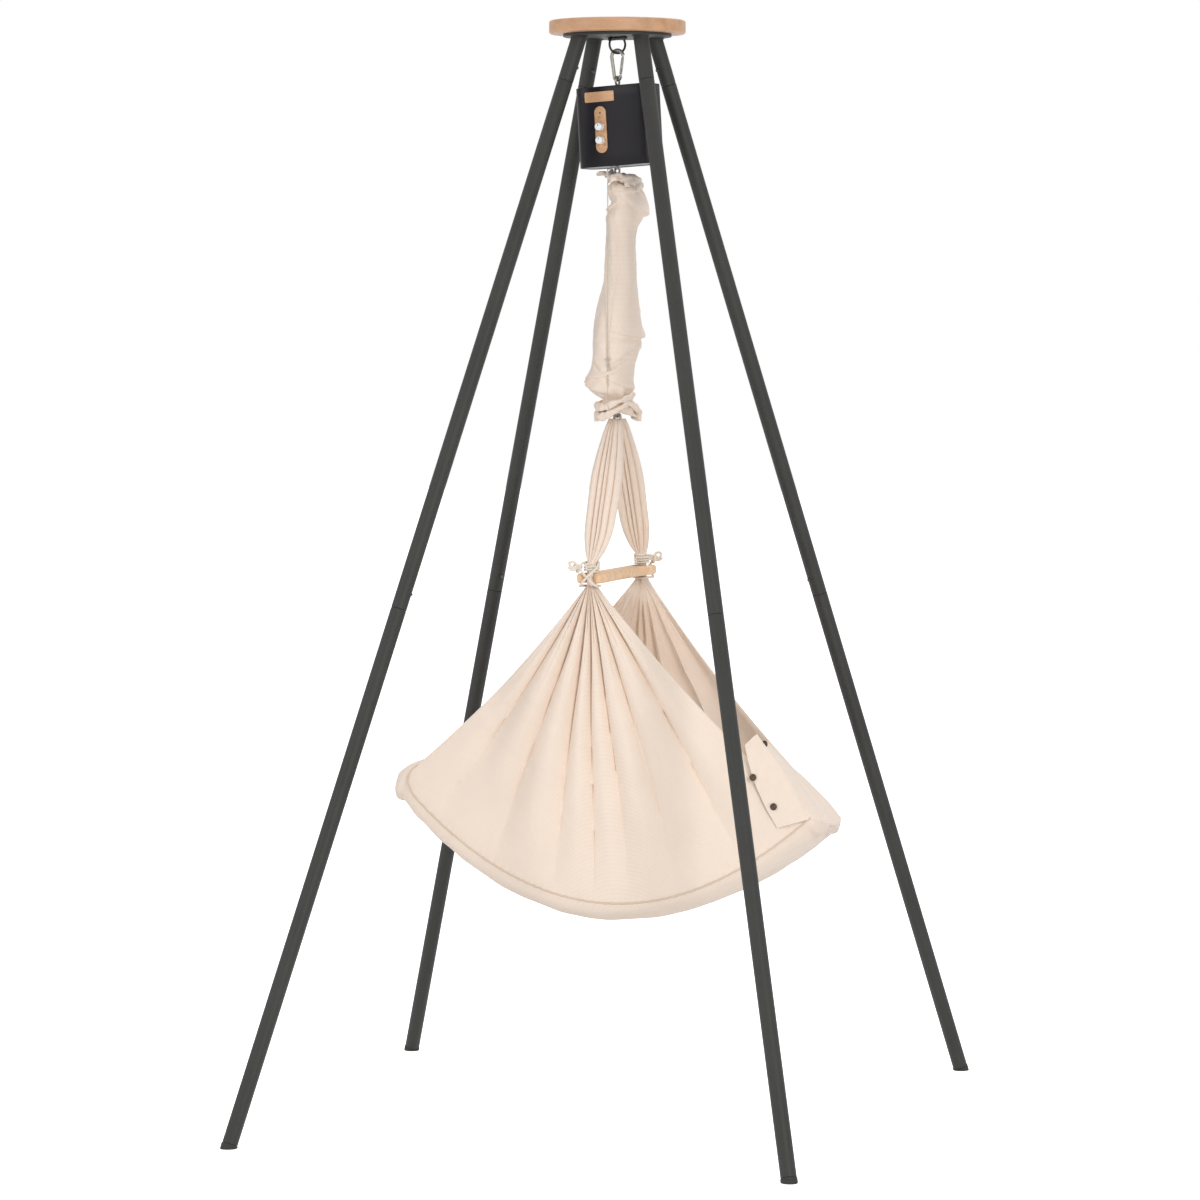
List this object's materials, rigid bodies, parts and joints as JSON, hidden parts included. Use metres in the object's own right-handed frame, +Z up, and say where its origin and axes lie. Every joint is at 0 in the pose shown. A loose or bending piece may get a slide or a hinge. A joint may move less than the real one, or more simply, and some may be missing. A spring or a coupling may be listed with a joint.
{
  "type": "baby spring cradle",
  "caption": "Cloth baby hammock hung by straps from a sleeved coil spring under a small motor box, in a splayed tube stand with a round wooden top.",
  "frame": {"origin": "on the floor, in the middle of the box round the whole part, which is the box round the four feet", "axes": "+Z up, +X along the hammock towards its buttoned end, +Y across it, away from the side that the controls face"},
  "size_m": [1.1286, 1.2734, 1.99],
  "materials": {
    "beech": "satin",
    "black_steel": "matte",
    "steel": "plain",
    "black_rubber": "matte",
    "graphite_paint": "satin",
    "black_plastic": "matte",
    "white_plastic": "gloss",
    "board_green": "matte",
    "webbing": "woven",
    "cream_cotton": "twill",
    "white_rope": "twisted",
    "grey_cord": "braided"
  },
  "bodies": {
    "stand": {"top_disc": "beech", "hub_plate": "black_steel", "leg_socket_front_left": "black_steel", "upper_leg_front_left": "black_steel", "lower_leg_front_left": "black_steel", "foot_cap_front_left": "black_rubber", "leg_socket_back_left": "black_steel", "upper_leg_back_left": "black_steel", "lower_leg_back_left": "black_steel", "foot_cap_back_left": "black_rubber", "leg_socket_back_right": "black_steel", "upper_leg_back_right": "black_steel", "lower_leg_back_right": "black_steel", "foot_cap_back_right": "black_rubber", "leg_socket_front_right": "black_steel", "upper_leg_front_right": "black_steel", "lower_leg_front_right": "black_steel", "foot_cap_front_right": "black_rubber"},
    "ring": {"hanging_ring": "black_steel"},
    "upper_hook": {"upper_snap_hook": "steel"},
    "upper_gate": {"upper_hook_gate": "steel"},
    "motor_box": {"motor_housing": "graphite_paint", "housing_lid": "graphite_paint", "housing_base": "graphite_paint", "name_plate": "beech", "control_plate": "beech", "circuit_board": "board_green", "eye_bolt": "steel", "motor_bracket": "steel", "gear_motor": "steel", "power_inlet": "black_plastic", "lift_belt": "webbing"},
    "speed_control": {"speed_knob": "white_plastic"},
    "timer_control": {"timer_knob": "white_plastic"},
    "drum": {"winding_drum": "black_plastic"},
    "lift": {"lift_hook": "steel", "main_spring": "steel", "spring_sleeve": "cream_cotton", "safety_cord": "grey_cord"},
    "spring_end": {"lower_ring": "steel"},
    "lower_hook": {"lower_snap_hook": "steel"},
    "lower_gate": {"lower_hook_gate": "steel"},
    "hammock": {"webbing_loop": "webbing", "spreader_bar": "beech", "front_tie": "white_rope", "back_tie": "white_rope", "front_panel": "cream_cotton", "back_panel": "cream_cotton", "mattress_pocket": "cream_cotton", "mattress": "cream_cotton", "buttoned_end_flap": "cream_cotton", "plain_end_flap": "cream_cotton"},
    "button_front_left_1": {"snap_button_front_left_1": "steel"},
    "button_front_left_2": {"snap_button_front_left_2": "steel"},
    "button_back_left_1": {"snap_button_back_left_1": "steel"},
    "button_back_left_2": {"snap_button_back_left_2": "steel"},
    "button_back_right_1": {"snap_button_back_right_1": "steel"},
    "button_back_right_2": {"snap_button_back_right_2": "steel"},
    "button_front_right_1": {"snap_button_front_right_1": "steel"},
    "button_front_right_2": {"snap_button_front_right_2": "steel"}
  },
  "joints": [
    {"name": "ring_swing", "type": "hinge", "parent": "stand", "child": "ring", "pos_m": [0.04785, -0.00218, 1.9581], "axis": [-0.7071, 0.7071, 0], "range_deg": [-4, 4]},
    {"name": "hook_swing", "type": "hinge", "parent": "ring", "child": "upper_hook", "pos_m": [0.04785, -0.00218, 1.9314], "axis": [-0.7071, -0.7071, 0], "range_deg": [-4, 4]},
    {"name": "upper_gate_open", "type": "hinge", "parent": "upper_hook", "child": "upper_gate", "pos_m": [0.05467, -0.00339, 1.89522], "axis": [-0.1736, -0.9848, 0], "range_deg": [0, 20], "stiffness_Nm_per_rad": 0.05, "springref_deg": -22.92},
    {"name": "box_turn", "type": "hinge", "parent": "upper_hook", "child": "motor_box", "pos_m": [0.04785, -0.00218, 1.88345], "axis": [0, 0, 1], "range_deg": [-12, 12]},
    {"name": "speed_turn", "type": "hinge", "parent": "motor_box", "child": "speed_control", "pos_m": [0.02737, -0.03836, 1.79735], "axis": [0.1219, 0.9925, 0], "range_deg": [0, 270]},
    {"name": "timer_turn", "type": "hinge", "parent": "motor_box", "child": "timer_control", "pos_m": [0.02881, -0.03853, 1.7729], "axis": [0.1219, 0.9925, 0], "range_deg": [0, 270]},
    {"name": "lift", "type": "slide", "parent": "motor_box", "child": "lift", "axis": [0, 0, -1], "range_m": [0, 0.04], "deforming": ["lift_belt"]},
    {"name": "drum_turn", "type": "hinge", "parent": "motor_box", "child": "drum", "pos_m": [0.05718, -0.00333, 1.80888], "axis": [-0.1219, -0.9925, 0], "range_deg": [0, 245]},
    {"name": "spring_bounce", "type": "slide", "parent": "lift", "child": "spring_end", "axis": [0, 0, -1], "range_m": [-0.04, 0.2], "stiffness_N_per_m": 400, "springref_m": -0.0601, "deforming": ["main_spring", "spring_sleeve", "safety_cord"]},
    {"name": "hammock_roll", "type": "hinge", "parent": "spring_end", "child": "lower_hook", "pos_m": [0.04785, -0.00218, 1.3158], "axis": [1, 0, 0], "range_deg": [-5, 5]},
    {"name": "lower_gate_open", "type": "hinge", "parent": "lower_hook", "child": "lower_gate", "pos_m": [0.04785, 0.00891, 1.29123], "axis": [1, 0, 0], "range_deg": [0, 20], "stiffness_Nm_per_rad": 0.05, "springref_deg": -22.92},
    {"name": "hammock_pitch", "type": "hinge", "parent": "lower_hook", "child": "hammock", "pos_m": [0.04785, -0.00218, 1.2721], "axis": [0, 1, 0], "range_deg": [-10, 10]},
    {"name": "press_front_left_1", "type": "slide", "parent": "stand", "child": "button_front_left_1", "axis": [-0.6096, -0.7138, 0.3447], "range_m": [0, 0.0035], "stiffness_N_per_m": 1500, "springref_m": -0.002},
    {"name": "press_front_left_2", "type": "slide", "parent": "stand", "child": "button_front_left_2", "axis": [-0.6096, -0.7138, 0.3447], "range_m": [0, 0.0035], "stiffness_N_per_m": 1500, "springref_m": -0.002},
    {"name": "press_back_left_1", "type": "slide", "parent": "stand", "child": "button_back_left_1", "axis": [-0.7032, 0.6218, 0.3447], "range_m": [0, 0.0035], "stiffness_N_per_m": 1500, "springref_m": -0.002},
    {"name": "press_back_left_2", "type": "slide", "parent": "stand", "child": "button_back_left_2", "axis": [-0.7032, 0.6218, 0.3447], "range_m": [0, 0.0035], "stiffness_N_per_m": 1500, "springref_m": -0.002},
    {"name": "press_back_right_1", "type": "slide", "parent": "stand", "child": "button_back_right_1", "axis": [0.5847, 0.7343, 0.3447], "range_m": [0, 0.0035], "stiffness_N_per_m": 1500, "springref_m": -0.002},
    {"name": "press_back_right_2", "type": "slide", "parent": "stand", "child": "button_back_right_2", "axis": [0.5847, 0.7343, 0.3447], "range_m": [0, 0.0035], "stiffness_N_per_m": 1500, "springref_m": -0.002},
    {"name": "press_front_right_1", "type": "slide", "parent": "stand", "child": "button_front_right_1", "axis": [0.5926, -0.7277, 0.3453], "range_m": [0, 0.0035], "stiffness_N_per_m": 1500, "springref_m": -0.002},
    {"name": "press_front_right_2", "type": "slide", "parent": "stand", "child": "button_front_right_2", "axis": [0.5926, -0.7277, 0.3453], "range_m": [0, 0.0035], "stiffness_N_per_m": 1500, "springref_m": -0.002}
  ],
  "couplings": [
    {"joint": "drum_turn", "follows": "lift", "rad_per_m": 106.38}
  ]
}
